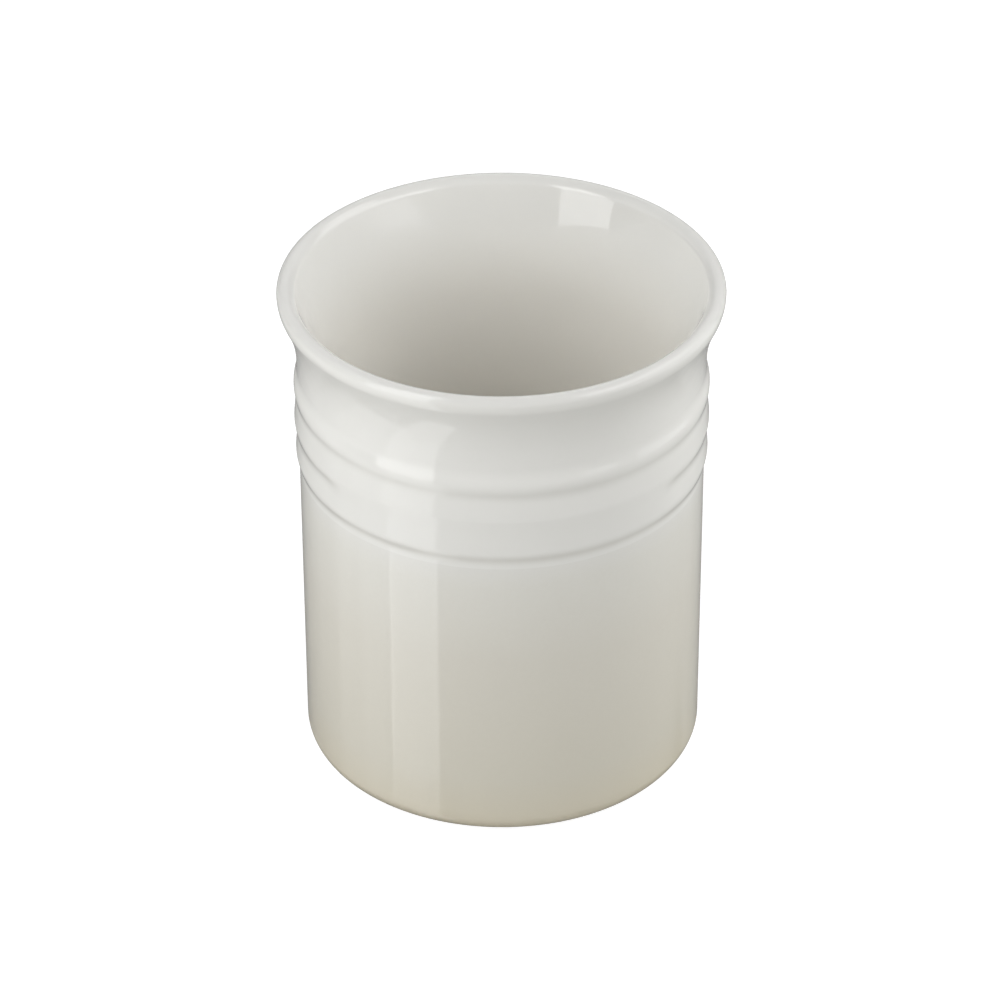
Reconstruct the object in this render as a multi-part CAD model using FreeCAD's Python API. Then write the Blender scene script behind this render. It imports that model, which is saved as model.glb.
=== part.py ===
import FreeCAD, Part
import math
import os

# A stoneware utensil crock: a turned clay body, dipped in glaze and fired.
# Millimetres, +Z up. The Z axis is the axis of the wheel, the front faces -Y,
# and the origin is the middle of the face that the crock stands on.

# Overall
height = 150.0
rim_diameter = 125.0
wall_thickness = 7.5
floor_thickness = 6.0
glaze_thickness = 0.4

# Flared lip: its outer edge, the swelling under that edge, and its inner edge, which lies lower
lip_edge_round = 2.2
lip_swell_round = 7.0
lip_thickness = 5.3
lip_inner_round = 2.5
lip_inner_drop = 0.9

# Neck: the narrowest place, so far under the top and inside the rim, and the hollow that leads to the collar
neck_drop = 23.3
rim_overhang = 5.0
collar_hollow_round = 20.0

# Inside of the mouth: how far the wall leans out to the lip, and the round of the bend that leads to it
mouth_lean_angle = 21.0
mouth_bend_round = 66.0

# Three lapped rings: each swells downwards to its edge, so far out from the neck, and rolls into a soft groove
top_groove_drop = 11.5
middle_groove_drop = 22.9
low_groove_drop = 33.3
low_ring_relief = 0.75
middle_ring_relief = 1.0
top_ring_relief = 0.95
middle_groove_relief = 0.28
top_groove_relief = 0.42
ring_edge_round = 5.0
groove_round = 6.0

# Plaque at the front, where the groove over the lowest ring stops and runs out
plaque_half_angle = 47.5
plaque_depth = 0.1
run_out_angle = 4.0

# Wall, which starts so far inside the neck and narrows downwards, and the corners at the floor
wall_inset = 0.15
wall_taper = 0.25
base_corner_round = 5.6
floor_corner_round = 9.0

# Bare foot ring, and the shallow recess inside it
foot_height = 0.8
foot_inset = 5.9
foot_width = 4.6
foot_edge_round = 0.3
recess_depth = 1.8
recess_inset = 3.1
recess_edge_round = 1.0
recess_corner_round = 1.2

FULL_TURN = 360.0
SHORTEST_EDGE = 1e-4

# Radii and heights that several pieces share, from the rim inwards and from the top or the foot
rim_radius = rim_diameter / 2
lip_crest_radius = rim_radius - lip_edge_round
neck_radius = rim_radius - rim_overhang
wall_radius = neck_radius - wall_inset
base_radius = wall_radius - wall_taper
foot_radius = base_radius - foot_inset
foot_inner_radius = foot_radius - foot_width
lip_height = height - lip_edge_round
neck_height = height - neck_drop
top_groove_height = neck_height - top_groove_drop
middle_groove_height = neck_height - middle_groove_drop
low_groove_height = neck_height - low_groove_drop
recess_height = foot_height + recess_depth
floor_height = recess_height + floor_thickness
middle_floor_height = floor_height - floor_thickness / 2


class Bend:
    """A circle that the outline bends round: a positive round bulges, and a negative one is a hollow."""

    def __init__(self, radius, level, bend_round):
        self.radius = radius
        self.level = level
        self.round = bend_round


def heading(start, end):
    """Angle of the line that leaves one bend and meets the next, with the clay on its left."""
    across = end.radius - start.radius
    up = end.level - start.level
    lean = (end.round - start.round) / math.hypot(across, up)
    return math.atan2(up, across) - math.asin(max(-1.0, min(1.0, lean)))


def touch_point(bend, angle, inset):
    """Place where a line at this angle touches a bend, for an outline set in from the surface."""
    reach = bend.round - inset
    return FreeCAD.Vector(bend.radius + reach * math.sin(angle), 0, bend.level - reach * math.cos(angle))


def outline_edges(bends, inset):
    """Lines and tangent arcs from the first bend to the last one, both of which lie on the axis."""
    headings = [heading(start, end) for start, end in zip(bends, bends[1:])]
    here = touch_point(bends[0], headings[0], inset)
    edges = []
    for index, angle in enumerate(headings):
        bend = bends[index + 1]
        meet = touch_point(bend, angle, inset)
        if here.distanceToPoint(meet) > SHORTEST_EDGE:
            edges.append(Part.LineSegment(here, meet).toShape())
            here = meet
        if bend is bends[-1]:
            return edges
        turn = math.remainder(headings[index + 1] - angle, 2 * math.pi)
        middle = touch_point(bend, angle + turn / 2, inset)
        leave = touch_point(bend, angle + turn, inset)
        if here.distanceToPoint(leave) > SHORTEST_EDGE:
            edges.append(Part.Arc(here, middle, leave).toShape())
            here = leave


def turned(edges):
    """Solid turned about the Z axis from an outline whose ends lie on that axis."""
    start = edges[0].Vertexes[0].Point
    end = edges[-1].Vertexes[-1].Point
    axis_line = Part.LineSegment(end, start).toShape()
    section = Part.Face(Part.Wire(edges + [axis_line]))
    return section.revolve(FreeCAD.Vector(0, 0, 0), FreeCAD.Vector(0, 0, 1), FULL_TURN)


def turned_polygon(corners):
    """Solid turned about the Z axis from straight runs between (radius, level) corners."""
    points = [FreeCAD.Vector(radius, 0, level) for radius, level in corners]
    return turned([Part.LineSegment(a, b).toShape() for a, b in zip(points, points[1:])])


def flare_round(lip):
    """Round of the outside arc that stands upright at the neck and runs into a bend of the lip."""
    across = neck_radius - lip.radius
    up = lip.level - neck_height
    return (across ** 2 + up ** 2 - lip.round ** 2) / (2 * (lip.round - across))


def mouth_bend(lip):
    """Bend that stands upright at the inside of the wall and leans out until it meets a bend of the lip."""
    lean = math.radians(mouth_lean_angle)
    radius = neck_radius - wall_thickness + mouth_bend_round
    across = radius - lip.radius
    rise = (across * math.cos(lean) - mouth_bend_round + lip.round) / math.sin(lean)
    return Bend(radius, lip.level + rise, mouth_bend_round)


def ring_bends(groove_radius, groove_height, ring_relief):
    """Groove under a ring, and the ring's edge, which rolls straight into it."""
    groove = Bend(groove_radius + groove_round, groove_height, -groove_round)
    edge_radius = neck_radius + ring_relief - ring_edge_round
    across = groove.radius - edge_radius
    rise = math.sqrt((ring_edge_round + groove_round) ** 2 - across ** 2)
    edge = Bend(edge_radius, groove_height + rise, ring_edge_round)
    return groove, edge


def crock_bends(with_middle_groove):
    """All the bends of the glazed surface, from under the floor, up the outside and down the inside."""
    recess_corner_level = recess_height - recess_corner_round
    under = [
        Bend(0, recess_height, 0),
        Bend(foot_inner_radius - recess_inset, recess_corner_level, -recess_corner_round),
        Bend(foot_inner_radius, foot_height + recess_edge_round, recess_edge_round),
        Bend(base_radius - base_corner_round, foot_height + base_corner_round, base_corner_round),
    ]

    middle_groove_radius = neck_radius + middle_groove_relief
    top_groove_radius = neck_radius + top_groove_relief
    low_groove, low_edge = ring_bends(wall_radius, low_groove_height, low_ring_relief)
    middle_groove, middle_edge = ring_bends(middle_groove_radius, middle_groove_height, middle_ring_relief)
    top_groove, top_edge = ring_bends(top_groove_radius, top_groove_height, top_ring_relief)
    rings = [low_groove, low_edge, middle_groove, middle_edge, top_groove, top_edge]
    if not with_middle_groove:
        rings.remove(middle_groove)

    lip_swell = Bend(rim_radius - lip_swell_round, lip_height, lip_swell_round)
    lip_edge = Bend(lip_crest_radius, lip_height, lip_edge_round)
    lip_inner_radius = rim_radius - lip_thickness + lip_inner_round
    lip_inner = Bend(lip_inner_radius, lip_height - lip_inner_drop, lip_inner_round)
    outer_flare = flare_round(lip_swell)
    flare = [
        Bend(neck_radius + collar_hollow_round, neck_height, -collar_hollow_round),
        Bend(neck_radius + outer_flare, neck_height, -outer_flare),
        lip_swell,
        lip_edge,
        lip_inner,
        mouth_bend(lip_inner),
    ]

    floor_corner_radius = base_radius - wall_thickness - floor_corner_round
    inside = [
        Bend(floor_corner_radius, floor_height + floor_corner_round, -floor_corner_round),
        Bend(0, floor_height, 0),
    ]
    return under + rings + flare + inside


def on_circle(radius, angle_from_front):
    """Point in plan at this radius, at an angle from the front, which faces -Y."""
    turn = math.radians(angle_from_front)
    return FreeCAD.Vector(radius * math.sin(turn), -radius * math.cos(turn), 0)


def plaque_block(inset):
    """Space of the plaque: a block in front whose two side faces slope down to the groove as it starts."""
    high = on_circle(neck_radius + middle_ring_relief - inset, plaque_half_angle)
    low = on_circle(neck_radius + middle_groove_relief - inset, plaque_half_angle + run_out_angle)
    outside = high + (high - low)
    inside = low + (low - high)
    corner = FreeCAD.Vector(rim_diameter, -rim_diameter, 0)
    right = [inside, outside, corner]
    left = [FreeCAD.Vector(-point.x, point.y, 0) for point in reversed(right)]
    face = Part.Face(Part.makePolygon(right + left + [inside]))
    face.translate(FreeCAD.Vector(0, 0, low_groove_height))
    return face.extrude(FreeCAD.Vector(0, 0, top_groove_height - low_groove_height))


def crock(inset):
    """The whole crock, set in by this much from its glazed surface, without the foot ring."""
    body = turned(outline_edges(crock_bends(True), inset))
    smooth_rings = turned(outline_edges(crock_bends(False), inset + plaque_depth))
    return body.fuse(smooth_rings.common(plaque_block(inset)))


def foot_ring():
    """Bare clay ring that the crock stands on, let into the floor."""
    ring = Part.makeCylinder(foot_radius, recess_height)
    ring = ring.cut(Part.makeCylinder(foot_inner_radius, recess_height))
    standing_edges = [edge for edge in ring.Edges if edge.BoundBox.ZMax < foot_edge_round]
    return ring.makeFillet(foot_edge_round, standing_edges)


def lining_space():
    """Everything inside the middle of the wall, up to the crest of the lip."""
    middle_of_wall = wall_thickness / 2
    above = height + lip_edge_round
    return turned_polygon([
        (0, middle_floor_height),
        (base_radius - middle_of_wall, middle_floor_height),
        (neck_radius - middle_of_wall, neck_height),
        (lip_crest_radius, lip_height),
        (lip_crest_radius, above),
        (0, above),
    ])


def make_pieces():
    """The clay and its four coats of glaze, which lie face to face on it and on each other."""
    clay = crock(glaze_thickness).fuse(foot_ring())
    glaze = crock(0).cut(clay)
    lining = lining_space()
    outside = glaze.cut(lining)
    under_floor = Part.makeCylinder(foot_radius - foot_width / 2, middle_floor_height)
    below_rings = Part.makeCylinder(rim_diameter, low_groove_height)
    return {
        "stoneware_body": clay,
        "lining_glaze": glaze.common(lining),
        "collar_glaze": outside.cut(below_rings),
        "wall_glaze": outside.common(below_rings.cut(under_floor)),
        "base_glaze": outside.common(under_floor),
    }


os.makedirs("parts", exist_ok=True)
for name, piece in make_pieces().items():
    print(name, "solids", len(piece.Solids), "valid", piece.isValid(), "mm3", round(piece.Volume, 1))
    piece.exportStep("parts/" + name + ".step")
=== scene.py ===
import bpy
import math
from mathutils import Matrix, Vector


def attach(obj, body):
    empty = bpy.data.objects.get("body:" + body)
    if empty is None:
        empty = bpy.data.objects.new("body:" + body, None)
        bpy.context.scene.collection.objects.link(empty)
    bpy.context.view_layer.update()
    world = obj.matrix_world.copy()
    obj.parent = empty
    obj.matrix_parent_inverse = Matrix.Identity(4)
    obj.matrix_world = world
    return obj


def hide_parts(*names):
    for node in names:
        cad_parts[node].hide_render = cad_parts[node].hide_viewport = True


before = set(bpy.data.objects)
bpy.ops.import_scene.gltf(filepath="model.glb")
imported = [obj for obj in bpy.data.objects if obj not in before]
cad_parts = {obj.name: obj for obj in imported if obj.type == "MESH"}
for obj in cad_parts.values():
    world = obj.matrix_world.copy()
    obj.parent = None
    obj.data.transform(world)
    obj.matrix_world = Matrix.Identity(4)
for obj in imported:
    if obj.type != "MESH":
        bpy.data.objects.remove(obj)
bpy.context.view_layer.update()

# Fired stoneware: the crock itself, thrown on a wheel from one lump of pale buff clay.
# The glaze covers it all but the foot ring, which is wiped clean so that it won't stick to the kiln shelf.
# There the clay shows its sandy grain and a few dark iron specks.


class Value:
    """One socket of a material, so that shader sums read as plain sums."""

    def __init__(self, recipe, socket):
        self.recipe = recipe
        self.socket = socket

    def combine(self, operation, first, second):
        return self.recipe.node("ShaderNodeMath", {"operation": operation}, {0: first, 1: second})

    def __add__(self, other):
        return self.combine("ADD", self, other)

    def __radd__(self, other):
        return self.combine("ADD", other, self)

    def __sub__(self, other):
        return self.combine("SUBTRACT", self, other)

    def __rmul__(self, other):
        return self.combine("MULTIPLY", other, self)


class Recipe:
    """The node tree of a material or of the world."""

    def __init__(self, tree):
        self.tree = tree

    def node(self, kind, settings, sockets, output=0):
        """Adds a node: its settings first, then the values or links of its sockets."""
        node = self.tree.nodes.new(kind)
        for setting, value in settings.items():
            if setting == "stops":
                ramp = node.color_ramp
                while len(ramp.elements) < len(value):
                    ramp.elements.new(1.0)
                for element, (place, colour) in zip(ramp.elements, value):
                    element.position = place
                    element.color = colour
            else:
                setattr(node, setting, value)
        for socket, value in sockets.items():
            if isinstance(value, Value):
                self.tree.links.new(value.socket, node.inputs[socket])
            else:
                node.inputs[socket].default_value = value
        return Value(self, node.outputs[output])

    def mix(self, share, first, second):
        """First colour where the share is 0, second colour where it is 1."""
        return self.node("ShaderNodeMix", {"data_type": "RGBA"}, {0: share, 6: first, 7: second}, 2)

    def noise(self, place, fineness, detail):
        """Cloudy pattern with about this many lumps to the metre."""
        return self.node("ShaderNodeTexNoise", {}, {"Vector": place, "Scale": fineness, "Detail": detail})

    def band(self, value, low, high):
        """0 below the low value, 1 above the high one, and smooth between them."""
        settings = {"interpolation_type": "SMOOTHSTEP"}
        return self.node("ShaderNodeMapRange", settings, {0: value, 1: low, 2: high, 3: 0.0, 4: 1.0})

    def kept(self, name):
        """What each point of the mesh keeps under this name."""
        return self.node("ShaderNodeAttribute", {"attribute_name": name}, {}, "Fac")


def surface(name, settings):
    """A new material with its recipe and the constants of its shader."""
    material = bpy.data.materials.new(name)
    material.use_nodes = True
    recipe = Recipe(material.node_tree)
    shader = material.node_tree.nodes["Principled BSDF"]
    for socket, value in settings.items():
        shader.inputs[socket].default_value = value
    recipe.shader = shader
    recipe.place = recipe.node("ShaderNodeTexCoord", {}, {}, "Object")
    return material, recipe


def feed(recipe, socket, value):
    """Links a value to a socket of the material's shader."""
    recipe.tree.links.new(value.socket, recipe.shader.inputs[socket])


bare_clay, clay = surface("bare_clay", {"IOR": 1.45})
clay_grain = clay.noise(clay.place, 2600.0, 3.0)
clay_cloud = clay.noise(clay.place, 160.0, 2.0)
iron_speck = clay.band(clay.noise(clay.place, 900.0, 0.0), 0.69, 0.73)
clay_tone = clay.mix(clay_cloud, (0.60, 0.53, 0.43, 1), (0.70, 0.64, 0.54, 1))
clay_tone = clay.mix(0.35 * clay_grain, clay_tone, (0.50, 0.43, 0.33, 1))
feed(clay, "Base Color", clay.mix(0.8 * iron_speck, clay_tone, (0.20, 0.13, 0.08, 1)))
feed(clay, "Roughness", 0.70 + 0.25 * clay_grain)
clay_bump = clay.node("ShaderNodeBump", {}, {"Strength": 0.5, "Distance": 0.00006, "Height": clay_grain})
feed(clay, "Normal", clay_bump)

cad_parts["stoneware_body"].data.materials.clear()
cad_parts["stoneware_body"].data.materials.append(bare_clay)

# White glaze: one glossy coat, poured in and swilled round, then run over the lip, the neck and the three
# lapped rings outside. It melts into a smooth glassy skin about 0.4 mm thick. On the crest of the lip it is
# greyed with painted shade. Under each ring it is darker and warmer, partly pooled glaze and partly painted
# shade, and it is warmer deeper inside.

GLAZE_THICKNESS = 0.0004
WALL_THICKNESS = 0.0075
RIM_RADIUS = 0.0625
LIP_LEVEL = 0.1478
LIP_SWELL_ROUND = 0.007
LIP_EDGE_ROUND = 0.0022
LIP_INNER_ROUND = 0.0025
LIP_INNER_DROP = 0.0009
LIP_THICKNESS = 0.0053
NECK_RADIUS = 0.0575
NECK_LEVEL = 0.1267
HOLLOW_LEVEL = 0.1248
HOLLOW_ROUND = 0.011
MOUTH_LEAN = math.radians(21.0)
MOUTH_ROUND = 0.066
FLOOR_LEVEL = 0.0086
FLOOR_CORNER_RADIUS = 0.0406
FLOOR_CORNER_ROUND = 0.009
WALL_TOP_RADIUS = 0.05735
LOW_GROOVE_LEVEL = 0.0932
MIDDLE_GROOVE_LEVEL = 0.1035
TOP_GROOVE_LEVEL = 0.1149
MIDDLE_GROOVE_RADIUS = NECK_RADIUS + 0.00028
TOP_GROOVE_RADIUS = NECK_RADIUS + 0.00042
SEAM_DROP = 0.0008
SEAM_INSET = 0.000005

ARC_STEP = math.radians(5.0)
TURN_STEPS = 240
SHORTEST_RUN = 1e-6
LEAST_TURN = 1e-4
HOLD_LENGTH = 0.0004
MERGE_DISTANCE = 2e-6


class Bend:
    """A circle that a coat's outline bends round: a positive round bulges, a negative one is a hollow."""

    def __init__(self, radius, level, bend_round):
        self.radius = radius
        self.level = level
        self.round = bend_round

    def touch(self, angle):
        """Place where a line at this angle touches the circle."""
        across = self.round * math.sin(angle)
        up = self.round * math.cos(angle)
        return Vector((self.radius + across, 0, self.level - up))


def heading(start, end):
    """Angle of the straight run that leaves one bend and meets the next, with the clay on its left."""
    across = end.radius - start.radius
    up = end.level - start.level
    lean = (end.round - start.round) / math.hypot(across, up)
    return math.atan2(up, across) - math.asin(max(-1.0, min(1.0, lean)))


def pull(start, end):
    """Pulls a straight run out of the last point, with a point close to either end to hold it straight."""
    run = end - start
    hold = min(0.25, HOLD_LENGTH / max(run.length, HOLD_LENGTH))
    for share in (hold, 1 - 2 * hold, hold):
        bpy.ops.mesh.extrude_vertices_move(TRANSFORM_OT_translate={"value": run * share})


def turned_coat(name, bends):
    """Draws an outline bend by bend, turns it round the axis of the wheel and returns the open skin."""
    headings = [heading(start, end) for start, end in zip(bends, bends[1:])]
    here = bends[0].touch(headings[0])
    bpy.ops.object.select_all(action="DESELECT")
    bpy.ops.mesh.primitive_plane_add(size=0.001, location=here)
    bpy.ops.object.transform_apply(location=True, rotation=False, scale=False)
    coat = bpy.context.object
    coat.name = name
    coat.data.name = name
    bpy.ops.object.mode_set(mode="EDIT")
    bpy.ops.mesh.select_mode(type="VERT")
    bpy.ops.mesh.select_all(action="SELECT")
    bpy.ops.mesh.merge(type="CENTER")
    for angle, bend, onward in zip(headings, bends[1:], headings[1:] + [None]):
        meet = bend.touch(angle)
        if (meet - here).length > SHORTEST_RUN:
            pull(here, meet)
        here = meet
        if onward is None:
            break
        turn = math.remainder(onward - angle, 2 * math.pi)
        if abs(turn) > LEAST_TURN:
            steps = max(2, math.ceil(abs(turn) / ARC_STEP))
            centre = (bend.radius, 0, bend.level)
            bpy.ops.mesh.spin(steps=steps, angle=turn, center=centre, axis=(0, 1, 0))
        here = bend.touch(onward)
    bpy.ops.mesh.select_all(action="SELECT")
    bpy.ops.mesh.spin(steps=TURN_STEPS, angle=2 * math.pi, center=(0, 0, 0), axis=(0, 0, 1))
    bpy.ops.mesh.select_all(action="SELECT")
    bpy.ops.mesh.remove_doubles(threshold=MERGE_DISTANCE)
    bpy.ops.mesh.normals_make_consistent(inside=False)
    bpy.ops.object.mode_set(mode="OBJECT")
    return coat


def thicken(coat):
    """Gives a skin the thickness of the glaze, inwards, and smooths it."""
    thickness = coat.modifiers.new("thickness", "SOLIDIFY")
    thickness.thickness = GLAZE_THICKNESS
    thickness.offset = -1.0
    thickness.use_even_offset = True
    bpy.ops.object.modifier_apply(modifier=thickness.name)
    bpy.ops.object.shade_smooth_by_angle(angle=math.radians(50.0))


def ring_bends(groove_radius, groove_level, groove_round, relief, edge_round):
    """Soft groove under a ring, and the edge of the ring, which rolls straight into it."""
    groove = Bend(groove_radius + groove_round, groove_level, -groove_round)
    edge_radius = NECK_RADIUS + relief - edge_round
    across = groove.radius - edge_radius
    rise = math.sqrt((edge_round + groove_round) ** 2 - across ** 2)
    return groove, Bend(edge_radius, groove_level + rise, edge_round)


def flare_bend(lip):
    """Hollow that stands upright at the neck and runs out into a bend of the lip."""
    across = NECK_RADIUS - lip.radius
    up = lip.level - NECK_LEVEL
    flare_round = (across ** 2 + up ** 2 - lip.round ** 2) / (2 * (lip.round - across))
    return Bend(NECK_RADIUS + flare_round, NECK_LEVEL, -flare_round)


def mouth_bend(lip):
    """Bend that stands upright at the inside of the wall and leans out until it meets a bend of the lip."""
    radius = NECK_RADIUS - WALL_THICKNESS + MOUTH_ROUND
    across = radius - lip.radius
    rise = (across * math.cos(MOUTH_LEAN) - MOUTH_ROUND + lip.round) / math.sin(MOUTH_LEAN)
    return Bend(radius, lip.level + rise, MOUTH_ROUND)


seam = Bend(WALL_TOP_RADIUS - SEAM_INSET, LOW_GROOVE_LEVEL - SEAM_DROP, 0)
low_groove, low_edge = ring_bends(
    WALL_TOP_RADIUS, LOW_GROOVE_LEVEL, groove_round=0.007, relief=0.00075, edge_round=0.006)
middle_groove, middle_edge = ring_bends(
    MIDDLE_GROOVE_RADIUS, MIDDLE_GROOVE_LEVEL, groove_round=0.009, relief=0.0010, edge_round=0.006)
top_groove, top_edge = ring_bends(
    TOP_GROOVE_RADIUS, TOP_GROOVE_LEVEL, groove_round=0.008, relief=0.00095, edge_round=0.007)
lip_swell = Bend(RIM_RADIUS - LIP_SWELL_ROUND, LIP_LEVEL, LIP_SWELL_ROUND)
lip_edge = Bend(RIM_RADIUS - LIP_EDGE_ROUND, LIP_LEVEL, LIP_EDGE_ROUND)
lip_inner_radius = RIM_RADIUS - LIP_THICKNESS + LIP_INNER_ROUND
lip_inner = Bend(lip_inner_radius, LIP_LEVEL - LIP_INNER_DROP, LIP_INNER_ROUND)

white_coat = turned_coat("white_glaze_coat", [
    seam,
    low_groove,
    low_edge,
    middle_groove,
    middle_edge,
    top_groove,
    top_edge,
    Bend(NECK_RADIUS + HOLLOW_ROUND, HOLLOW_LEVEL, -HOLLOW_ROUND),
    flare_bend(lip_swell),
    lip_swell,
    lip_edge,
    lip_inner,
    mouth_bend(lip_inner),
    Bend(FLOOR_CORNER_RADIUS, FLOOR_LEVEL + FLOOR_CORNER_ROUND, -FLOOR_CORNER_ROUND),
    Bend(0, FLOOR_LEVEL, 0),
])

# The plaque: in front, the groove over the lowest ring runs out and leaves one broad smooth band.
# Each point of the coat also keeps how much pooled glaze and painted shade lie under the rings, how much
# painted shade greys the top of the lip and how deep inside it lies, for the tones of the glaze.

PLAQUE_ANGLE = math.radians(48.5)
PLAQUE_RUN_OUT = math.radians(9.0)
PLAQUE_DIP = 0.00012
POOL_AND_PAINTED_SHADE_HEIGHT = 0.0012
POOL_AND_PAINTED_SHADE_DROP = 0.0004
PAINTED_LIP_SHADE_HEIGHT = 0.0015
DEEP_START_LEVEL = 0.140
DEEP_HEIGHT = 0.050
INSIDE_RADIUS = WALL_TOP_RADIUS - 0.0001


def clamped(share):
    """The share, held between none and all."""
    return min(1.0, max(0.0, share))


def pool_and_painted_shade_level(groove, edge):
    """Height of the pooled glaze and painted shade, just under the steepest place, where the edge of a ring
    runs into its groove.
    """
    steepest = groove.level + (edge.level - groove.level) * groove.round / (groove.round - edge.round)
    return steepest - POOL_AND_PAINTED_SHADE_DROP


low_face_radius = low_edge.radius + low_edge.round
middle_face_radius = middle_edge.radius + middle_edge.round
pool_and_painted_shade_layer = white_coat.data.attributes.new("pool", "FLOAT", "POINT")
painted_lip_shade_layer = white_coat.data.attributes.new("thin", "FLOAT", "POINT")
deeps = white_coat.data.attributes.new("deep", "FLOAT", "POINT")
for point, pool, thin, deep in zip(white_coat.data.vertices, pool_and_painted_shade_layer.data, painted_lip_shade_layer.data, deeps.data):
    radius = math.hypot(point.co.x, point.co.y)
    # Painted shade on the top of the lip, above the lip's level.
    thin.value = clamped((point.co.z - LIP_LEVEL) / PAINTED_LIP_SHADE_HEIGHT)
    if radius < INSIDE_RADIUS:
        deep.value = clamped((DEEP_START_LEVEL - point.co.z) / DEEP_HEIGHT)
        continue
    off_front = abs(math.atan2(point.co.x, -point.co.y))
    share = clamped((PLAQUE_ANGLE + PLAQUE_RUN_OUT - off_front) / PLAQUE_RUN_OUT)
    share = share * share * (3 - 2 * share)
    # Pooled glaze and painted shade under each ring, weaker across the plaque.
    for groove, edge, depth in (
        (low_groove, low_edge, 1.0),
        (middle_groove, middle_edge, 0.8 * (1 - share)),
        (top_groove, top_edge, 0.4),
    ):
        away = (point.co.z - pool_and_painted_shade_level(groove, edge)) / POOL_AND_PAINTED_SHADE_HEIGHT
        pool.value += depth * math.exp(-away * away)
    height_share = (point.co.z - low_edge.level) / (middle_edge.level - low_edge.level)
    if 0 < height_share < 1:
        face = low_face_radius + (middle_face_radius - low_face_radius) * height_share
        face = face - PLAQUE_DIP * math.sin(math.pi * height_share)
        grown = 1 + share * (face - radius) / radius
        point.co.x = point.co.x * grown
        point.co.y = point.co.y * grown
thicken(white_coat)

white_glaze, white = surface("white_glaze", {"IOR": 1.5})
white_cloud = white.noise(white.place, 45.0, 2.0)
white_tone = white.mix(white_cloud, (0.918, 0.913, 0.878, 1), (0.930, 0.925, 0.890, 1))
# Darker, warmer line under each ring: partly pooled glaze, partly painted shade in the groove.
white_tone = white.mix(0.20 * white.kept("pool"), white_tone, (0.62, 0.59, 0.51, 1))
# Warmer deeper inside the crock.
white_tone = white.mix(white.kept("deep"), white_tone, (0.930, 0.900, 0.835, 1))
# Painted shade: the top of the lip is greyed.
white_tone = white.mix(0.16 * white.kept("thin"), white_tone, (0.66, 0.66, 0.63, 1))
white_peel = white.noise(white.place, 260.0, 1.0)
white_wave = white.noise(white.place, 150.0, 1.0)
white_bump = white.node("ShaderNodeBump", {}, {"Strength": 1.0, "Distance": 0.00004, "Height": white_wave})
feed(white, "Base Color", white_tone)
feed(white, "Roughness", 0.02 + 0.03 * white_peel)
feed(white, "Normal", white_bump)
white_coat.data.materials.append(white_glaze)
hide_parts("lining_glaze", "collar_glaze")
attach(white_coat, "root")

# Shaded glaze: the coat on the plain wall, sprayed on over the white while the crock turned.
# It starts white under the lowest ring and warms to beige. In the bottom few millimetres, where it rolls
# under at the base corner, it is darker and yellower: partly the glaze's own tone, partly painted shade. It
# ends in a small rounded bead against the bare foot ring.

BASE_RADIUS = 0.0571
BASE_CORNER_ROUND = 0.0056
FOOT_LEVEL = 0.0008
FOOT_RADIUS = 0.0512
BEAD_ROUND = 0.0005
BEAD_LEVEL = FOOT_LEVEL + BEAD_ROUND
COAT_END_LEVEL = FOOT_LEVEL + 0.0012
FOOT_GAP = 0.00002

wall_coat = turned_coat("shaded_glaze_coat", [
    Bend(FOOT_RADIUS + FOOT_GAP, COAT_END_LEVEL, 0),
    Bend(FOOT_RADIUS + BEAD_ROUND + FOOT_GAP, BEAD_LEVEL, BEAD_ROUND),
    Bend(BASE_RADIUS - BASE_CORNER_ROUND, FOOT_LEVEL + BASE_CORNER_ROUND, BASE_CORNER_ROUND),
    seam,
])
thicken(wall_coat)

shaded_glaze, shaded = surface("shaded_glaze", {"IOR": 1.5})
level = shaded.node("ShaderNodeSeparateXYZ", {}, {0: shaded.place}, "Z")
shade_cloud = shaded.noise(shaded.place, 40.0, 2.0)
shade_place = 10.0 * level + 0.03 * (shade_cloud - 0.5)
# The lowest stop, darker and yellower, is partly the glaze's tone and partly painted shade under the base
# corner.
shade = shaded.node("ShaderNodeValToRGB", {"stops": [
    (0.00, (0.71, 0.645, 0.51, 1)),
    (0.08, (0.765, 0.72, 0.60, 1)),
    (0.20, (0.77, 0.74, 0.645, 1)),
    (0.60, (0.81, 0.785, 0.71, 1)),
    (0.86, (0.865, 0.855, 0.80, 1)),
    (0.93, (0.90, 0.895, 0.86, 1)),
]}, {0: shade_place})
spray = shaded.noise(shaded.place, 900.0, 2.0)
shade = shaded.mix(0.06 * spray, shade, (0.55, 0.50, 0.40, 1))
shade_peel = shaded.noise(shaded.place, 260.0, 1.0)
shade_wave = shaded.noise(shaded.place, 150.0, 1.0)
shade_bump = shaded.node("ShaderNodeBump", {}, {"Strength": 1.0, "Distance": 0.00004, "Height": shade_wave})
feed(shaded, "Base Color", shade)
feed(shaded, "Roughness", 0.02 + 0.03 * shade_peel)
feed(shaded, "Normal", shade_bump)
wall_coat.data.materials.append(shaded_glaze)
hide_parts("wall_glaze")
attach(wall_coat, "root")

# Glaze under the floor: the same white, brushed into the shallow recess inside the foot ring.
# It stops against the ring in a rounded edge, so that no glaze touches the shelf.

FOOT_INNER_RADIUS = 0.0466
RECESS_LEVEL = 0.0026
RECESS_CORNER_RADIUS = 0.0435
RECESS_CORNER_ROUND = 0.0012

base_coat = turned_coat("base_glaze_coat", [
    Bend(0, RECESS_LEVEL, 0),
    Bend(RECESS_CORNER_RADIUS, RECESS_LEVEL - RECESS_CORNER_ROUND, -RECESS_CORNER_ROUND),
    Bend(FOOT_INNER_RADIUS - BEAD_ROUND - FOOT_GAP, BEAD_LEVEL, BEAD_ROUND),
    Bend(FOOT_INNER_RADIUS - FOOT_GAP, COAT_END_LEVEL, 0),
])
thicken(base_coat)
base_coat.data.materials.append(white_glaze)
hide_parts("base_glaze")
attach(base_coat, "root")

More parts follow.
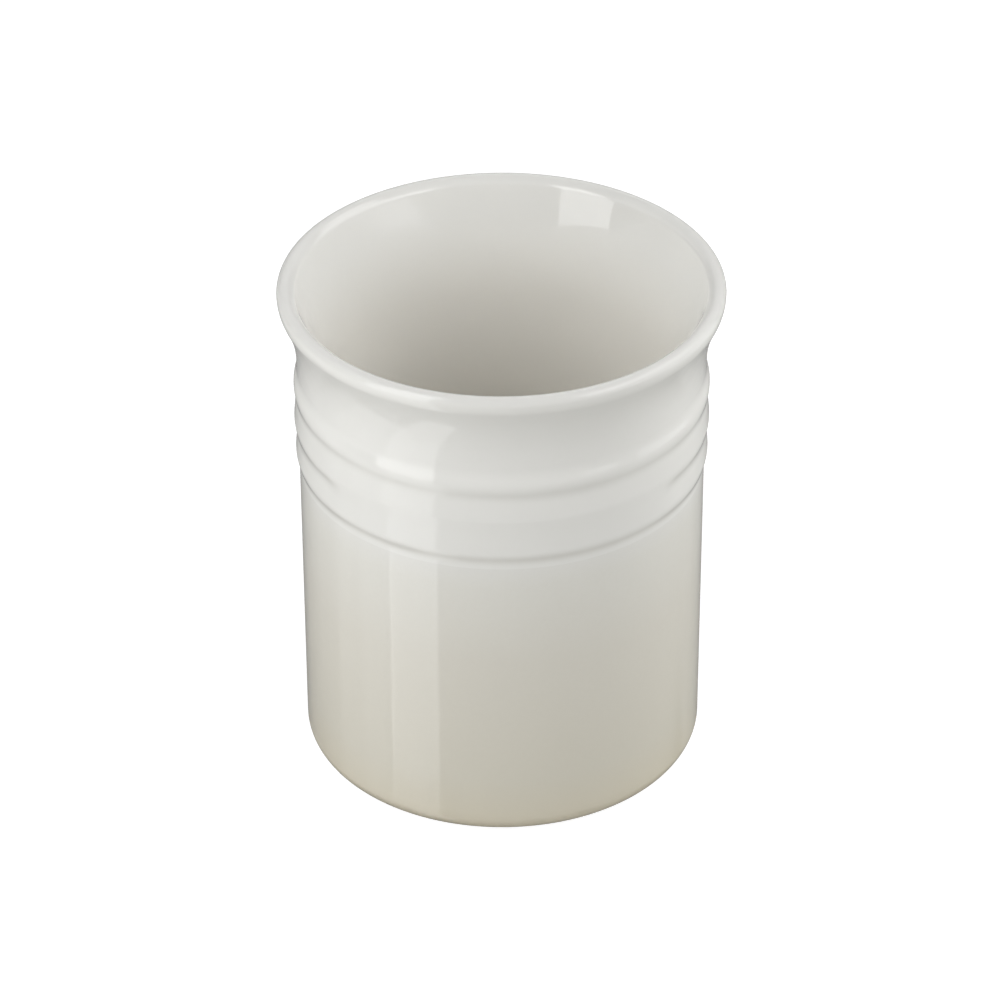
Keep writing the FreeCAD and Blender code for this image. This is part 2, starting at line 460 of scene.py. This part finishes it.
# Table: a plain white sheet, lit until it shows pure white, that keeps the shadow under the crock.
# The gloss of the glaze looks through it, to the cards that hang below its level, and so does a camera
# from underneath.

bpy.ops.object.select_all(action="DESELECT")
bpy.ops.mesh.primitive_plane_add(size=8.0, location=(0, 0, 0))
table = bpy.context.object
table.name = "table"
table_white = bpy.data.materials.new("table_white")
table_white.use_nodes = True
top = Recipe(table_white.node_tree)
to_camera = top.node("ShaderNodeLightPath", {}, {}, "Is Camera Ray")
to_gloss = top.node("ShaderNodeLightPath", {}, {}, "Is Glossy Ray")
from_below = top.node("ShaderNodeNewGeometry", {}, {}, "Backfacing")
paint = top.node("ShaderNodeBsdfDiffuse", {}, {"Color": (0.3, 0.3, 0.3, 1)})
bounce = top.node("ShaderNodeBsdfDiffuse", {}, {"Color": (0.77, 0.77, 0.75, 1)})
glow = top.node("ShaderNodeEmission", {}, {"Color": (1, 1, 1, 1), "Strength": 0.93})
shown = top.node("ShaderNodeAddShader", {}, {0: paint, 1: glow})
clear = top.node("ShaderNodeBsdfTransparent", {}, {})
opaque = top.node("ShaderNodeMixShader", {}, {0: to_camera, 1: bounce, 2: shown})
seen = top.node("ShaderNodeMixShader", {}, {0: to_gloss, 1: opaque, 2: clear})
table_skin = top.node("ShaderNodeMixShader", {}, {0: from_below, 1: seen, 2: clear})
top.tree.links.new(table_skin.socket, top.tree.nodes["Material Output"].inputs["Surface"])
table.data.materials.append(table_white)

# Studio: upright panels round the crock. The main light is a tall softbox at the front left, brightest at
# the top, with pale cards under it and to its left. Reflectors stand at both sides, and dim panels close
# the back.


def panel(name, azimuth, distance, width, low, high, glow):
    """An upright soft panel facing the crock, at an angle from the front, positive to the right.

    Its low and high edges are heights over the table, and a panel with a glow of 1 would just show white.
    """
    light = bpy.data.lights.new(name, "AREA")
    light.shape = "RECTANGLE"
    light.size = width
    light.size_y = high - low
    light.energy = glow * math.pi * width * (high - low)
    lamp = bpy.data.objects.new(name, light)
    turn = math.radians(azimuth)
    lamp.location = (distance * math.sin(turn), -distance * math.cos(turn), (low + high) / 2)
    lamp.rotation_euler = (math.radians(90), 0, turn)
    lamp.visible_camera = False
    bpy.context.scene.collection.objects.link(lamp)


panel("softbox", -49, 0.60, 0.335, -0.06, 0.40, 2.8)
panel("softbox_top", -49, 0.60, 0.335, 0.40, 1.20, 4.1)
panel("card_under_softbox", -50, 0.60, 0.31, -0.40, -0.06, 1.4)
panel("low_card", -50, 0.60, 0.31, -1.20, -0.40, 1.0)
panel("left_reflector", -98, 0.80, 1.00, 0.45, 1.20, 0.9)
panel("left_card", -75, 0.80, 0.31, -0.90, -0.05, 0.68)
panel("left_card_behind", -96, 0.80, 0.28, -0.90, -0.05, 0.45)
panel("left_card_edge", -116, 0.80, 0.28, -0.90, -0.05, 0.20)
panel("right_strip", 56, 0.80, 0.46, 0.02, 0.28, 1.5)
panel("right_top", 56, 0.80, 0.46, 0.45, 1.20, 3.1)
panel("right_reflector", 98, 0.80, 0.78, -0.12, 0.45, 1.05)
panel("right_reflector_top", 98, 0.80, 0.78, 0.45, 1.20, 2.5)
panel("right_card", 82, 0.80, 1.49, -0.70, -0.12, 0.12)
panel("back_wall", 180, 0.80, 2.00, 0.00, 0.45, 0.35)
panel("back_wall_top", 180, 0.80, 2.00, 0.45, 1.20, 0.80)
panel("back_card", 180, 0.80, 2.20, -0.90, 0.00, 0.20)

# Room: white to the camera and dark to everything else, so that only the panels light the crock.
# The gloss of the glaze still shows a faint warm tone where no panel stands.

room = bpy.data.worlds.new("room")
bpy.context.scene.world = room
room.use_nodes = True
air = Recipe(room.node_tree)
white_to_camera = air.node("ShaderNodeLightPath", {}, {}, "Is Camera Ray")
tone_in_gloss = air.node("ShaderNodeLightPath", {}, {}, "Is Glossy Ray")
dark_air = air.node("ShaderNodeBackground", {}, {"Color": (1, 1, 1, 1), "Strength": 0.0})
warm_air = air.node("ShaderNodeBackground", {}, {"Color": (1.0, 0.98, 0.92, 1), "Strength": 0.05})
white_air = air.node("ShaderNodeBackground", {}, {"Color": (1, 1, 1, 1), "Strength": 1.0})
lit = air.node("ShaderNodeMixShader", {}, {0: tone_in_gloss, 1: dark_air, 2: warm_air})
sky = air.node("ShaderNodeMixShader", {}, {0: white_to_camera, 1: lit, 2: white_air})
air.tree.links.new(sky.socket, air.tree.nodes["World Output"].inputs["Surface"])

# Camera: a long lens nearly a metre and a half away, looking down at the crock from the front.
# It leans over by a hair, as on a tripod set by hand.

CAMERA_PLACE = (0, -1.18765, 0.86253)
CAMERA_TILT = math.radians(56.53)
CAMERA_ROLL = math.radians(-0.17)

lens = bpy.data.cameras.new("camera")
lens.sensor_width = 36.0
lens.lens = 179.5
lens.shift_x = -0.002
camera = bpy.data.objects.new("camera", lens)
tilt = Matrix.Rotation(CAMERA_TILT, 4, "X")
roll = Matrix.Rotation(CAMERA_ROLL, 4, "Z")
camera.matrix_world = Matrix.Translation(CAMERA_PLACE) @ tilt @ roll
bpy.context.scene.collection.objects.link(camera)
bpy.context.scene.camera = camera
bpy.context.scene.view_settings.view_transform = "Standard"
